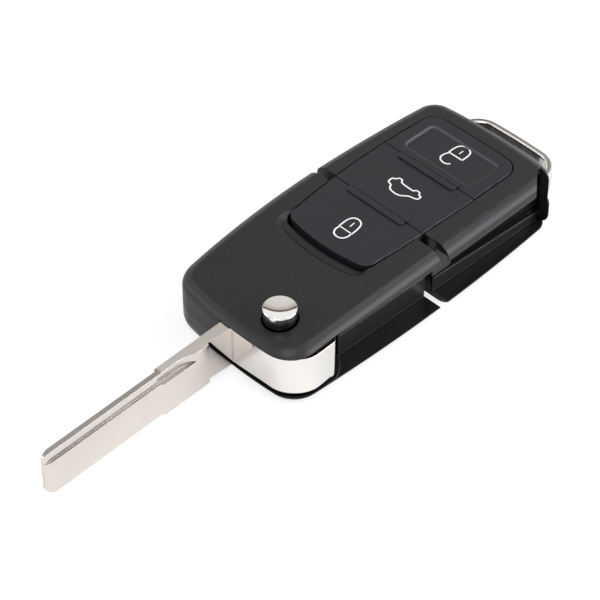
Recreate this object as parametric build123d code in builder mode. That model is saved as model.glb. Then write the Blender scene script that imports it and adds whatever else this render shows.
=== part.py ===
"""Folding car key shell with three buttons, blade out.

The origin is on the underside at the foot of the flip pivot. +X runs along the open
blade, +Y towards the side with the blade slot and +Z up. All sizes are millimetres.
"""
import math
import os

from build123d import *

os.makedirs("parts", exist_ok=True)

# Body of the key
nose = 7.3              # front edge of the body, ahead of the pivot
body_length = 75.3
far_side = 25.7         # pivot to the plain side of the body
roof_side = 9.9         # pivot to the slot side of the upper shells
flange_side = 11.5      # pivot to the slot side of the lower shells
height = 14.6
parting = 6.4           # height of the joint between upper and lower shells
wall = 1.4
floor = 1.5             # thickness of the lower shells
roof = 1.8              # thickness of the upper shells
rim_run = 2.1           # width of the slope round the top edge ...
rim_drop = 1.2          # ... and how far it falls
rim_soft = 1.8          # rounding where the slope meets the top
rim_roll = 2.2          # rounding where the slope turns down into the side
belly_radius = 4.0      # rounding round the underside
nose_radius_far = 6.0
nose_radius_slot = 6.4
tail_radius = 4.7
nose_drop = 1.8         # the top of the flip half falls away by this much at the nose
tail = nose - body_length
front_end = -33.0       # rear end of the flip half
split = 2.2             # gap between the two halves
rear_start = front_end - split
end_crown = 8.0         # the nose and tail stand furthest out this far to the plain side
side_crown = -30.0      # the sides stand furthest out here, along the body

# Blade
open_turn = 2.0         # degrees by which the open blade stands off the body's axis
blade_reach = 53.2      # pivot to the tip
blade_offset = 6.2      # pivot to the broad face on the slot side
blade_thick = 2.7
blade_bottom = 1.5
blade_height = 9.9
shoulder = 12.9         # pivot to the shoulder of the blade
shoulder_bevel = 0.7
shoulder_step = 0.2     # the neck is this much thinner on the slot side
neck_lift = 0.35        # the neck's lower edge lies this much above the blade's
step_at = 24.0          # pivot to where the thinner cut length starts
cut_side = 0.52         # taken off each broad face of the cut length
mill_depth = 1.05       # the step milled into each broad face
mill_height = 2.13
mill_end = 15.6         # pivot to where the milled step runs out
tip_bevel = 1.8         # length of the bevels that narrow the tip
tip_flat = 0.55         # thickness left at the tip
tip_round = 2.2
tip_nip = 0.8           # the corners by the milled steps are rounded less
mill_run = 4.5          # length of the curve where the step runs out
tang_start = -3.2       # buried end of the blade
tang_fit = 0.03
tang_inset = 1.6        # the tang is this much lower than the blade at top and bottom
blade_near = -blade_offset
blade_far = blade_near - blade_thick
blade_top = blade_bottom + blade_height
blade_mid = blade_bottom + blade_height / 2
blade_line = blade_near - blade_thick / 2
tang_height = blade_height - 2 * tang_inset

# Slot in the body that takes the folded blade
slot_gap = 0.3          # room beside and above the folded blade
under_gap = 0.15        # room under the folded blade
over_gap = 0.15         # room above the folded blade
slot_rest = 12.4        # free length past the folded tip
slot_wall = blade_offset - slot_gap
slot_roof = blade_top + over_gap
slot_floor = blade_bottom - under_gap
slot_end = -(blade_reach + slot_rest)
notch_length = 6.6      # the slot's rear end is open at the top along the side ...
notch_start = 1.2       # ... and less far at its wall
slot_back = slot_wall - wall
edge_lift = 0.75        # the front cover's lower edge rises this much behind the nose corner
edge_start = 4.0

# Flip head and its round pocket
head_front = 6.2
head_side = 9.9
head_back = 5.4
head_far = 10.0
head_corner = 6.4
head_drum = 7.0
head_round = 1.4        # upright edge at the rear of the bright face
head_heel = 2.8         # upright edge at the rear of the plain side
head_edge = 0.35
head_gap = 0.2
head_lift = 0.6         # underside of the head above the blade's lower edge
head_bottom = blade_bottom + head_lift
head_top = slot_roof - head_gap
pocket_floor = blade_bottom + neck_lift - head_gap
pocket_radius = 11.2
drum_wall = 1.2
window_end = blade_far + nose * math.tan(math.radians(open_turn)) - slot_gap

# Pivot, spring and release button
button_radius = 3.3
button_top = 16.3
button_hole_gap = 0.3
button_dish = 0.5
button_edge = 0.25
dish_radius = (button_radius ** 2 + button_dish ** 2) / (2 * button_dish)
collar_radius = 4.6
collar_height = 1.45
lug_reach = 5.6
lug_width = 2.2
lug_turn = 45.0
slide_gap = 0.1
release_travel = 1.8
bore_radius = collar_radius + slide_gap
bore_floor = head_bottom + 1.15
seat_radius = 2.95
seat_foot = 2.1
seat_sink = 0.9
seat_rise = 2.3
pivot_fit = 0.05
spring_radius = 3.75
spring_wire = 0.42
spring_turns = 4.5
spring_gap = 0.03
collar_bottom = head_top - collar_height
pin_radius = 0.95
pin_at = 0.4
spring_length = collar_bottom - bore_floor - 2 * spring_wire - 2 * spring_gap

# Screw of the flip half
screw_x = -15.0
screw_y = -16.5
screw_radius = 1.0
screw_head = 2.0
screw_head_height = 1.2
screw_sink = 0.35
screw_tip = 9.4
screw_gap = 0.15
thread_gap = 0.03
boss_radius = 2.7
inner_joint = 4.85      # height where the screw posts and rear slot walls of both shells meet
joint_gap = 0.15
ledge = 0.2             # the rear lower slot wall stands this far into the slot ...
ledge_fall = 1.5        # ... and its top falls this much towards the rear
end_hollow = 1.0        # the remote half is hollowed this deep beside the slot ...
end_skin = 0.25         # ... which leaves a thin edge of skin

# Keypad
pad_far = 20.6
pad_near = 3.3
pad_front = -19.1
pad_margin = 5.3        # rear end of the body to the pad
pad_rear = tail + pad_margin
pad_top = height + 0.15
pad_gap = 0.25          # round the sides and rear of the pad
lock_gap = 0.8          # in front of the lock button
line_lock = -34.8       # joint between lock and boot buttons
line_unlock = -49.1     # joint between boot and unlock buttons
line_gap = 0.16
cap_thick = 1.45
pad_edge = 0.22
press_travel = 0.4
dome_gap = 0.05
bar_width = 2.9
bar_length = 14.8
bar_rise = 0.3
bar_corner = 0.5
pad_middle = (pad_near - pad_far) / 2
pad_centre = (pad_front + pad_rear) / 2
dish_depth = 0.3        # finger dish in the unlock button
dish_slope = 60.0
dish_front = -50.9
dish_rear = -60.0
dish_length = 18.4
dish_corner = 1.5
dome_places = [(-27.5, pad_middle), (-42.0, pad_middle), (-56.0, pad_middle)]
scoop_depth = 0.75
scoop_reach = 2.6       # opening for the buttons to the top of the scoop's bank
scoop_bank = 57.0       # degrees by which the bank leans back
dome_radius = 2.6
dome_height = 0.65
mat_thick = 0.7
mat_inset = 1.6
frame_thick = 1.0
frame_inset = 0.3
frame_rim = 0.9
frame_rim_height = 2.1
post_radius = 1.5
post_front = -41.0
post_rear = -58.0
post_side = 7.6         # posts lie this far from the middle of the pad
post_places = [
    (post_front, pad_middle - post_side),
    (post_front, pad_middle + post_side),
    (post_rear, pad_middle - post_side),
    (post_rear, pad_middle + post_side),
]
cap_bottom = pad_top - cap_thick
dome_top = cap_bottom - press_travel - dome_gap
mat_top = dome_top - dome_height
mat_bottom = mat_top - mat_thick
frame_bottom = mat_bottom - frame_thick
bay_bottom = frame_bottom - slot_gap
scoop_front = pad_front + lock_gap + scoop_reach
scoop_top = height - 0.3
front_ceiling = height - nose_drop - roof
rear_ceiling = height - roof
back_ceiling = rear_ceiling - 0.4   # behind the pocket, under the falling top

# Ring bow
bow_reach = 6.2         # past the rear end of the body
bow_thick = 1.5
bow_bottom = 4.6
bow_height = 5.1
bow_far = 18.6
bow_near = 5.0
bow_corner = 5.6
bow_leg = 5.2           # length of each leg inside the body
leg_thick = 1.8
bow_edge = 0.5
leg_gap = 0.1
ring_pin = 0.55
ring_pin_foot = 1.8
ring_pin_top = 11.0
pin_fit = 0.03
lug_wall = 1.3
leg_end = tail + bow_leg
far_leg = leg_thick / 2 - bow_far
near_leg = bow_near - leg_thick / 2
pin_x = (leg_end + tail + wall) / 2

# Tongue that joins the two halves
tongue_length = 8.0
tongue_far = 17.0
tongue_near = 1.0
tongue_bottom = 2.6
tongue_top = 6.2
tongue_wall = 1.2
tongue_gap = 0.15

# Lap joint between upper and lower shells
lap = 0.7
lap_height = 1.0
lap_gap = 0.08
lap_step = 0.15         # the lip stands this far behind the wall's inner face

reach = body_length     # longer than any cut needs to be


def body_outline(slot_side, nose_fall, tail_fall, inset):
    """Plan of the body, or a smaller one inside it: four bowed sides, rounded corners."""
    nose_far = (nose - 1.9, -far_side + 2.6)
    nose_slot = (nose - 0.7, slot_side - nose_fall)
    tail_slot = (tail + 1.0, slot_side - tail_fall)
    tail_far = (tail + 1.2, -far_side + 1.6)
    corners = [
        (nose_far, nose_radius_far),
        (nose_slot, nose_radius_slot),
        (tail_slot, tail_radius),
        (tail_far, tail_radius),
    ]
    with BuildSketch() as plan:
        with BuildLine():
            ThreePointArc(nose_far, (nose, -end_crown), nose_slot)
            ThreePointArc(nose_slot, (side_crown, slot_side), tail_slot)
            ThreePointArc(tail_slot, (tail, -end_crown), tail_far)
            ThreePointArc(tail_far, (side_crown, -far_side), nose_far)
        make_face()
        if inset:
            offset(amount=-inset, kind=Kind.INTERSECTION)
        for corner, radius in corners:
            fillet(plan.vertices().sort_by_distance(Vertex(*corner))[0], radius=radius - inset)
    return plan.sketch


def keypad_outline(front, grow):
    """Plan of the three buttons together, or of the opening round them."""
    front_far = (front - 1.3, -pad_far + 1.9)
    front_near = (front - 1.3, pad_near - 0.8)
    rear_near = (pad_rear + 0.3, pad_near - 0.3)
    rear_far = (pad_rear + 0.3, -pad_far + 0.6)
    corners = [(front_far, 2.2), (front_near, 2.6), (rear_near, 3.6), (rear_far, 3.2)]
    with BuildSketch() as plan:
        with BuildLine():
            ThreePointArc(front_far, (front, pad_middle), front_near)
            ThreePointArc(front_near, (pad_centre, pad_near), rear_near)
            ThreePointArc(rear_near, (pad_rear, pad_middle), rear_far)
            ThreePointArc(rear_far, (pad_centre, -pad_far), front_far)
        make_face()
        if grow:
            offset(amount=grow, kind=Kind.INTERSECTION)
        for corner, radius in corners:
            fillet(plan.vertices().sort_by_distance(Vertex(*corner))[0], radius=radius + grow)
    return plan.sketch


def between(outline, start, end, side):
    """The part of an outline from start to end along X, on the plain side of side."""
    with BuildSketch() as plan:
        add(outline)
        with Locations(((start + end) / 2, side - reach / 2)):
            Rectangle(abs(end - start), reach, mode=Mode.INTERSECT)
    return plan.sketch


def inner_room(outline, start, end):
    """Room inside the walls of one half, clear of the slot wall and the round pocket."""
    with BuildSketch() as plan:
        add(between(outline, start, end, slot_back))
        Circle(pocket_radius + drum_wall, mode=Mode.SUBTRACT)
    return plan.sketch


def lap_ring(start, end, gap, inner):
    """Thin lip that keeps the two shells of one half in line."""
    outer = body_outline(roof_side, 0.1, 0.9, wall - lap - gap)
    with BuildSketch() as plan:
        add(between(outer, start, end, slot_back - wall))
        add(body_outline(roof_side, 0.1, 0.9, inner), mode=Mode.SUBTRACT)
        Circle(pocket_radius + drum_wall + lap, mode=Mode.SUBTRACT)
    return plan.sketch


def rim_line(block):
    """Edges where the sloping rim of an upper block meets its sides."""
    outline = roof_plan.wire()
    level = block.edges().filter_by(Axis.Z, reverse=True)
    return level.filter_by(
        lambda edge: (edge @ 0.5).Z > parting + 1
        and outline.distance_to(Vertex((edge @ 0.5).X, (edge @ 0.5).Y, 0)) < 0.05
    )


roof_plan = body_outline(roof_side, 0.1, 0.9, 0)
roof_inner = body_outline(roof_side, 0.1, 0.9, wall)
base_plan = body_outline(flange_side, 0.9, 2.2, 0)
base_inner = body_outline(flange_side, 0.9, 2.2, wall)
pad_plan = keypad_outline(pad_front, 0)
bay_plan = keypad_outline(pad_front + lock_gap - pad_gap, pad_gap)

# The round pocket of the head, and everything else that the swinging blade passes
with BuildSketch() as pocket_plan:
    Circle(pocket_radius)
    with Locations((nose - wall + reach / 2, window_end - reach / 2)):
        Rectangle(reach, reach, mode=Mode.SUBTRACT)

with BuildSketch() as sweep_plan:
    with Locations((reach / 2, window_end + reach / 2)):
        Rectangle(reach, reach)
    with Locations((slot_end / 2, slot_wall + reach / 2)):
        Rectangle(-slot_end, reach)
    Circle(pocket_radius, mode=Mode.SUBTRACT)

# Crescent scoop in front of the lock button: a flat ledge below a leaning bank
with BuildPart() as scoop:
    with BuildSketch(Plane.XY.offset(scoop_top)) as scoop_plan:
        scoop_far = (scoop_front - 2.0, -pad_far + 0.55)
        scoop_near = (scoop_front - 1.6, pad_near - 0.1)
        with BuildLine():
            Polyline(
                scoop_near,
                (pad_front - 3.4, pad_near - 0.9),
                (pad_front - 5.4, -pad_far + 1.1),
                scoop_far,
            )
            ThreePointArc(scoop_far, (scoop_front, pad_middle + 3.2), scoop_near)
        make_face()
        for corner, radius in ((scoop_far, 2.6), (scoop_near, 2.2)):
            fillet(scoop_plan.vertices().sort_by_distance(Vertex(*corner, scoop_top))[0], radius=radius)
    extrude(amount=-scoop_depth, taper=scoop_bank)
    extrude(scoop_plan.sketch, amount=1)

with BuildSketch() as inner_wall_rear:
    with Locations(((rear_start + slot_end) / 2, (slot_back + slot_wall) / 2)):
        Rectangle(rear_start - slot_end, wall)

# Slots for the legs of the ring bow, and the block round each leg
with BuildSketch() as leg_slots:
    with Locations(((tail + leg_end) / 2, far_leg), ((tail + leg_end) / 2, near_leg)):
        Rectangle(bow_leg + 2 * leg_gap, leg_thick + 2 * leg_gap)

with BuildSketch() as leg_block:
    leg_block_x = (tail + wall + leg_end + lug_wall) / 2
    with Locations((leg_block_x, far_leg), (leg_block_x, near_leg)):
        Rectangle(bow_leg + lug_wall - wall + 1, leg_thick + 2 * lug_wall)
    add(body_outline(roof_side, 0.1, 0.9, wall - joint_gap), mode=Mode.INTERSECT)

# Upper block of the flip half: bowed plan, top falling away to the nose, sloped rim
with BuildPart() as front_upper:
    with BuildSketch(Plane.XY.offset(parting)):
        add(between(roof_plan, front_end, nose + 1, reach / 2))
    extrude(amount=height)
    with BuildSketch(Plane.XZ):
        with BuildLine():
            Polyline(
                (nose + 1, height - nose_drop),
                (nose + 1, 0),
                (front_end - 1, 0),
                (front_end - 1, height),
            )
            TangentArc((front_end - 1, height), (nose + 1, height - nose_drop), tangent=(1, 0))
        make_face()
    extrude(amount=reach, both=True, mode=Mode.INTERSECT)
    front_top = front_upper.faces().sort_by(Axis.Z)[-1]
    chamfer(
        front_top.edges().filter_by(Axis.Y, reverse=True),
        length=rim_run,
        length2=rim_drop,
        reference=front_top,
    )
    front_top = front_upper.faces().sort_by(Axis.Z)[-1]
    fillet(front_top.edges().filter_by(Axis.Y, reverse=True), radius=rim_soft)
    fillet(rim_line(front_upper), radius=rim_roll)

# Upper block of the remote half, flat on top
with BuildPart() as rear_upper:
    with BuildSketch(Plane.XY.offset(parting)):
        add(between(roof_plan, tail - 1, rear_start, reach / 2))
    extrude(amount=height - parting)
    rear_top = rear_upper.faces().sort_by(Axis.Z)[-1]
    chamfer(
        rear_top.edges().filter_by(Axis.Y, reverse=True),
        length=rim_run,
        length2=rim_drop,
        reference=rear_top,
    )
    rear_top = rear_upper.faces().sort_by(Axis.Z)[-1]
    fillet(rear_top.edges().filter_by(Axis.Y, reverse=True), radius=rim_soft)
    fillet(rim_line(rear_upper), radius=rim_roll)

# Lower blocks, rounded underneath
with BuildPart() as front_lower:
    with BuildSketch():
        add(between(base_plan, front_end, nose + 1, reach / 2))
    extrude(amount=parting)
    front_belly = front_lower.faces().sort_by(Axis.Z)[0]
    fillet(front_belly.edges().filter_by(Axis.Y, reverse=True), radius=belly_radius)

with BuildPart() as rear_lower:
    with BuildSketch():
        add(between(base_plan, tail - 1, rear_start, reach / 2))
    extrude(amount=parting)
    rear_belly = rear_lower.faces().sort_by(Axis.Z)[0]
    fillet(rear_belly.edges().filter_by(Axis.Y, reverse=True), radius=belly_radius)

# Upper shell of the flip half, with the roof over the slot and the U-shaped cut-out
with BuildPart() as front_cover:
    add(front_upper.part)
    with BuildSketch(Plane.XY.offset(parting)):
        add(inner_room(roof_inner, front_end + wall, nose))
    extrude(amount=front_ceiling - parting, mode=Mode.SUBTRACT)
    with BuildSketch(Plane.XY.offset(parting)):
        add(inner_room(roof_inner, front_end + wall, -pocket_radius - drum_wall))
    extrude(amount=back_ceiling - parting, mode=Mode.SUBTRACT)
    with BuildSketch(Plane.XY.offset(inner_joint)):
        with Locations((screw_x, screw_y)):
            Circle(boss_radius)
    extrude(amount=back_ceiling - inner_joint + joint_gap)
    with BuildSketch():
        add(pocket_plan.sketch)
        add(sweep_plan.sketch)
    extrude(amount=slot_roof, mode=Mode.SUBTRACT)
    with BuildSketch(Plane.XZ.offset(-slot_wall)):
        with BuildLine():
            Polyline(
                (edge_start, slot_roof - joint_gap),
                (edge_start, slot_roof),
                (-head_back, slot_roof + edge_lift),
                (front_end - 1, slot_roof + edge_lift / 2),
                (front_end - 1, slot_roof - joint_gap),
                close=True,
            )
        make_face()
    extrude(amount=-reach, mode=Mode.SUBTRACT)
    with BuildSketch(Plane.XY.offset(slot_roof - joint_gap)):
        Circle(button_radius + button_hole_gap)
    extrude(amount=height, mode=Mode.SUBTRACT)
    with BuildSketch(Plane.XY.offset(bay_bottom)):
        add(bay_plan)
    extrude(amount=height, mode=Mode.SUBTRACT)
    add(scoop.part, mode=Mode.SUBTRACT)
    with BuildSketch(Plane.XY.offset(inner_joint)):
        with Locations((screw_x, screw_y)):
            Circle(screw_radius + thread_gap)
    extrude(amount=screw_tip - inner_joint + screw_gap, mode=Mode.SUBTRACT)
    with BuildSketch(Plane.XY.offset(parting)):
        add(lap_ring(front_end + wall, nose, lap_gap, wall + lap_step))
    extrude(amount=lap_height + lap_gap, mode=Mode.SUBTRACT)
front_cover.part.label = "front_cover"
export_step(front_cover.part, "parts/front_cover.step")

# Lower shell of the flip half: lip under the head, slot floor, flange and end opening
with BuildPart() as front_base:
    add(front_lower.part)
    with BuildSketch(Plane.XY.offset(floor)):
        add(inner_room(base_inner, front_end + wall, nose))
    extrude(amount=parting, mode=Mode.SUBTRACT)
    with BuildSketch(Plane.XY.offset(floor / 2)):
        with Locations((screw_x, screw_y)):
            Circle(boss_radius)
    extrude(amount=inner_joint - joint_gap - floor / 2)
    with BuildSketch(Plane.XY.offset(parting - lap)):
        add(lap_ring(front_end + wall + lap_gap, nose, 0, wall - lap_step))
    extrude(amount=lap_height + lap)
    with BuildSketch(Plane.XY.offset(pocket_floor)):
        add(pocket_plan.sketch)
    extrude(amount=height, mode=Mode.SUBTRACT)
    with BuildSketch(Plane.XY.offset(slot_floor)):
        add(sweep_plan.sketch)
    extrude(amount=height, mode=Mode.SUBTRACT)
    with BuildSketch(Plane.XY.offset(tongue_bottom - tongue_gap)):
        with Locations((front_end, (tongue_near - tongue_far) / 2)):
            Rectangle(3 * wall, tongue_near + tongue_far + 2 * tongue_gap)
    extrude(amount=height, mode=Mode.SUBTRACT)
    with BuildSketch(Plane.XY.offset(pocket_floor - seat_sink - pin_fit)):
        Circle(seat_foot + pin_fit)
    extrude(amount=height, mode=Mode.SUBTRACT)
    with BuildSketch():
        with Locations((screw_x, screw_y)):
            Circle(screw_head + screw_gap)
    extrude(amount=screw_sink + screw_head_height, mode=Mode.SUBTRACT)
    with BuildSketch():
        with Locations((screw_x, screw_y)):
            Circle(screw_radius + screw_gap)
    extrude(amount=height, mode=Mode.SUBTRACT)
front_base.part.label = "front_base"
export_step(front_base.part, "parts/front_base.step")

# Upper shell of the remote half, round the keypad
with BuildPart() as rear_cover:
    add(rear_upper.part)
    with BuildSketch(Plane.XY.offset(parting)):
        add(inner_room(roof_inner, tail, rear_start - wall))
    extrude(amount=rear_ceiling - parting, mode=Mode.SUBTRACT)
    with BuildSketch(Plane.XY.offset(inner_joint + joint_gap)):
        add(inner_wall_rear.sketch)
    extrude(amount=slot_roof - inner_joint)
    with BuildSketch(Plane.XY.offset(parting)):
        add(leg_block.sketch)
    extrude(amount=rear_ceiling - parting + joint_gap)
    with BuildSketch():
        add(sweep_plan.sketch)
    extrude(amount=slot_roof, mode=Mode.SUBTRACT)
    with BuildSketch(Plane.XY.offset(bay_bottom)):
        add(bay_plan)
    extrude(amount=height, mode=Mode.SUBTRACT)
    with BuildSketch(Plane.XY.offset(bow_bottom - leg_gap)):
        add(leg_slots.sketch)
    extrude(amount=bow_height + 2 * leg_gap, mode=Mode.SUBTRACT)
    with BuildSketch(Plane.XY.offset(ring_pin_foot)):
        with Locations((pin_x, far_leg), (pin_x, near_leg)):
            Circle(ring_pin + pin_fit)
    extrude(amount=ring_pin_top + joint_gap - ring_pin_foot, mode=Mode.SUBTRACT)
    with BuildSketch(Plane.XY.offset(parting)):
        add(lap_ring(tail, rear_start - wall, lap_gap, wall + lap_step))
    extrude(amount=lap_height + lap_gap, mode=Mode.SUBTRACT)
    with BuildSketch(Plane(origin=(rear_start, 0, 0), x_dir=(0, -1, 0), z_dir=(-1, 0, 0))):
        with BuildLine():
            Polyline(
                (-slot_back, slot_roof - 1),
                (-slot_back, height - end_skin),
                (rim_run - roof_side, height - end_skin - 0.1),
                (rim_run / 2 - roof_side, height - rim_drop - 0.1),
                (end_skin - roof_side, height - 2 * rim_drop),
                (end_skin - roof_side, slot_roof - 1),
                close=True,
            )
        make_face()
    extrude(amount=end_hollow, taper=45, mode=Mode.SUBTRACT)
    with BuildSketch(Plane.XY.offset(slot_roof - joint_gap)):
        with BuildLine():
            Polyline(
                (slot_end + notch_length, roof_side + 1),
                (slot_end + notch_start, slot_wall),
                (slot_end, slot_wall),
                (slot_end, roof_side + 1),
                close=True,
            )
        make_face()
    extrude(amount=height, mode=Mode.SUBTRACT)
rear_cover.part.label = "rear_cover"
export_step(rear_cover.part, "parts/rear_cover.step")

# Lower shell of the remote half: flange, slot wall, keypad posts and the joining tongue
with BuildPart() as rear_base:
    add(rear_lower.part)
    with BuildSketch(Plane.XY.offset(floor)):
        add(inner_room(base_inner, tail, rear_start - wall))
    extrude(amount=parting, mode=Mode.SUBTRACT)
    with BuildSketch(Plane.XY.offset(floor - joint_gap)):
        add(leg_block.sketch)
    extrude(amount=parting - floor + joint_gap)
    with BuildSketch(Plane.XY.offset(floor / 2)):
        with Locations(*post_places):
            Circle(post_radius)
    extrude(amount=frame_bottom - floor / 2)
    with BuildSketch(Plane.XY.offset(inner_joint - joint_gap)):
        add(inner_wall_rear.sketch)
    extrude(amount=parting, mode=Mode.SUBTRACT)
    with BuildSketch(Plane.XY.offset(parting - lap)):
        add(lap_ring(tail, rear_start - wall - lap_gap, 0, wall - lap_step))
    extrude(amount=lap_height + lap)
    with BuildSketch(Plane.XY.offset(slot_floor)):
        add(sweep_plan.sketch)
    extrude(amount=height, mode=Mode.SUBTRACT)
    with BuildSketch(Plane.XZ.offset(-slot_wall + joint_gap)):
        with BuildLine():
            Polyline(
                (slot_end - joint_gap, floor / 2),
                (rear_start, floor / 2),
                (rear_start, inner_joint - joint_gap),
                (slot_end - joint_gap, inner_joint - joint_gap - ledge_fall),
                close=True,
            )
        make_face()
    extrude(amount=-ledge - joint_gap)
    with BuildSketch(Plane.XY.offset(tongue_bottom)):
        with Locations((rear_start + (tongue_length - wall / 2) / 2, (tongue_near - tongue_far) / 2)):
            Rectangle(tongue_length + wall / 2, tongue_near + tongue_far)
    extrude(amount=tongue_top - tongue_bottom)
    with BuildSketch(Plane.XY.offset(tongue_bottom + tongue_wall)):
        with Locations((rear_start + tongue_length / 2 + joint_gap, (tongue_near - tongue_far) / 2)):
            Rectangle(tongue_length, tongue_near + tongue_far - 2 * tongue_wall)
    extrude(amount=tongue_top - tongue_bottom, mode=Mode.SUBTRACT)
    with BuildSketch(Plane.XY.offset(bow_bottom - leg_gap)):
        add(leg_slots.sketch)
    extrude(amount=bow_height + 2 * leg_gap, mode=Mode.SUBTRACT)
    with BuildSketch(Plane.XY.offset(ring_pin_foot)):
        with Locations((pin_x, far_leg), (pin_x, near_leg)):
            Circle(ring_pin + pin_fit)
    extrude(amount=height, mode=Mode.SUBTRACT)
rear_base.part.label = "rear_base"
export_step(rear_base.part, "parts/rear_base.step")

# Bright head that carries the blade, bored for the spring and the button's collar
with BuildSketch() as head_plan:
    with BuildLine():
        Polyline(
            (head_front, blade_far + 0.5),
            (head_front, head_side),
            (-head_back, head_side),
            (-head_back, -head_far),
            (head_front - 2.4, -head_far),
            close=True,
        )
    make_face()
    for corner, radius in (
        ((head_front, head_side), head_corner),
        ((-head_back, head_side), head_round),
        ((-head_back, -head_far), head_heel),
    ):
        fillet(head_plan.vertices().sort_by_distance(Vertex(*corner))[0], radius=radius)
    Circle(head_drum)
    with Locations((head_front - reach / 2, 0)):
        Rectangle(reach, reach, mode=Mode.INTERSECT)

with BuildPart() as head_block:
    with BuildSketch(Plane.XY.offset(head_bottom)):
        add(head_plan.sketch)
    extrude(amount=head_top - head_bottom)
    head_rim = head_block.faces().filter_by(Axis.Z).edges()
    fillet(head_rim, radius=head_edge)
    with BuildSketch(Plane.XY.offset(bore_floor)):
        Circle(bore_radius)
    extrude(amount=height, mode=Mode.SUBTRACT)
    with BuildSketch():
        Circle(seat_radius + pivot_fit)
    extrude(amount=height, mode=Mode.SUBTRACT)
    with BuildSketch(Plane.XY.offset(collar_bottom - release_travel - slot_gap)):
        Rectangle(2 * (lug_reach + slide_gap), lug_width + 2 * slide_gap, rotation=lug_turn)
    extrude(amount=height, mode=Mode.SUBTRACT)
    with BuildSketch(Plane.XZ.offset(-blade_near - tang_fit)):
        with Locations(((head_front + tang_start) / 2, blade_mid)):
            Rectangle(head_front - tang_start + 2 * tang_fit, tang_height + 2 * tang_fit)
    extrude(amount=blade_thick + 2 * tang_fit, mode=Mode.SUBTRACT)
    with BuildSketch(Plane.XZ.offset(bore_radius - slide_gap)):
        with Locations((pin_at, blade_mid)):
            Circle(pin_radius + pin_fit)
    extrude(amount=head_far - bore_radius, mode=Mode.SUBTRACT)

with BuildPart() as flip_head:
    add(head_block.part, rotation=(0, 0, open_turn))
flip_head.part.label = "flip_head"
export_step(flip_head.part, "parts/flip_head.step")

# Uncut blade: tang, neck, shoulder, shank and cut length with a milled step on each side
with BuildPart() as blade_block:
    with BuildSketch(Plane.XZ.offset(-blade_near)):
        with BuildLine():
            Polyline(
                (tang_start, blade_bottom + tang_inset),
                (head_front + tang_fit, blade_bottom + tang_inset),
                (head_front + tang_fit, blade_bottom + neck_lift),
                (shoulder - shoulder_bevel, blade_bottom + neck_lift),
                (shoulder, blade_bottom),
                (blade_reach, blade_bottom),
                (blade_reach, blade_top),
                (head_front + tang_fit, blade_top),
                (head_front + tang_fit, blade_top - tang_inset),
                (tang_start, blade_top - tang_inset),
                close=True,
            )
        make_face()
        for corner, radius in (
            ((blade_reach, blade_bottom), tip_round),
            ((blade_reach, blade_top), tip_nip),
        ):
            fillet(vertices().sort_by_distance(Vertex(*corner))[0], radius=radius)
    extrude(amount=blade_thick)
    with BuildSketch(Plane.XY):
        with BuildLine():
            Polyline(
                (step_at, blade_near + 1),
                (step_at, blade_near),
                (step_at + 0.5, blade_near - cut_side),
                (blade_reach - tip_bevel, blade_near - cut_side),
                (blade_reach, blade_line + tip_flat / 2),
                (blade_reach + 1, blade_line + tip_flat / 2),
                (blade_reach + 1, blade_near + 1),
                close=True,
            )
        make_face()
        with BuildLine():
            Polyline(
                (step_at, blade_far - 1),
                (step_at, blade_far),
                (step_at + 0.5, blade_far + cut_side),
                (blade_reach - tip_bevel, blade_far + cut_side),
                (blade_reach, blade_line - tip_flat / 2),
                (blade_reach + 1, blade_line - tip_flat / 2),
                (blade_reach + 1, blade_far - 1),
                close=True,
            )
        make_face()
        with BuildLine():
            Polyline(
                (head_front, blade_near + 1),
                (head_front, blade_near - shoulder_step),
                (shoulder - shoulder_bevel, blade_near - shoulder_step),
                (shoulder - shoulder_bevel + 2 * shoulder_step, blade_near),
                (shoulder - shoulder_bevel + 2 * shoulder_step, blade_near + 1),
                close=True,
            )
        make_face()
    extrude(amount=height, mode=Mode.SUBTRACT)
    with BuildSketch(Plane.XY.offset(blade_top - mill_height)):
        with BuildLine():
            Polyline(
                (mill_end + mill_run, blade_near - mill_depth),
                (blade_reach + 1, blade_near - mill_depth),
                (blade_reach + 1, blade_near + 1),
                (mill_end, blade_near + 1),
                (mill_end, blade_near),
            )
            TangentArc(
                (mill_end + mill_run, blade_near - mill_depth),
                (mill_end, blade_near),
                tangent=(-1, 0),
            )
        make_face()
    extrude(amount=height, mode=Mode.SUBTRACT)
    with BuildSketch(Plane.XY.offset(blade_bottom + mill_height)):
        with BuildLine():
            Polyline(
                (mill_end + mill_run, blade_far + mill_depth),
                (blade_reach + 1, blade_far + mill_depth),
                (blade_reach + 1, blade_far - 1),
                (mill_end, blade_far - 1),
                (mill_end, blade_far),
            )
            TangentArc(
                (mill_end + mill_run, blade_far + mill_depth),
                (mill_end, blade_far),
                tangent=(-1, 0),
            )
        make_face()
    extrude(amount=-height, mode=Mode.SUBTRACT)
    with BuildSketch(Plane.XZ):
        with Locations((pin_at, blade_mid)):
            Circle(pin_radius + pin_fit)
    extrude(amount=reach, mode=Mode.SUBTRACT)

with BuildPart() as key_blade:
    add(blade_block.part, rotation=(0, 0, open_turn))
key_blade.part.label = "key_blade"
export_step(key_blade.part, "parts/key_blade.step")

# Steel pin through the head and the tang
with BuildPart() as pin_block:
    with BuildSketch(Plane.XZ.offset(bore_radius + pivot_fit)):
        with Locations((pin_at, blade_mid)):
            Circle(pin_radius)
    extrude(amount=head_far - slide_gap - bore_radius - pivot_fit)

with BuildPart() as blade_pin:
    add(pin_block.part, rotation=(0, 0, open_turn))
blade_pin.part.label = "blade_pin"
export_step(blade_pin.part, "parts/blade_pin.step")

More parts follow.
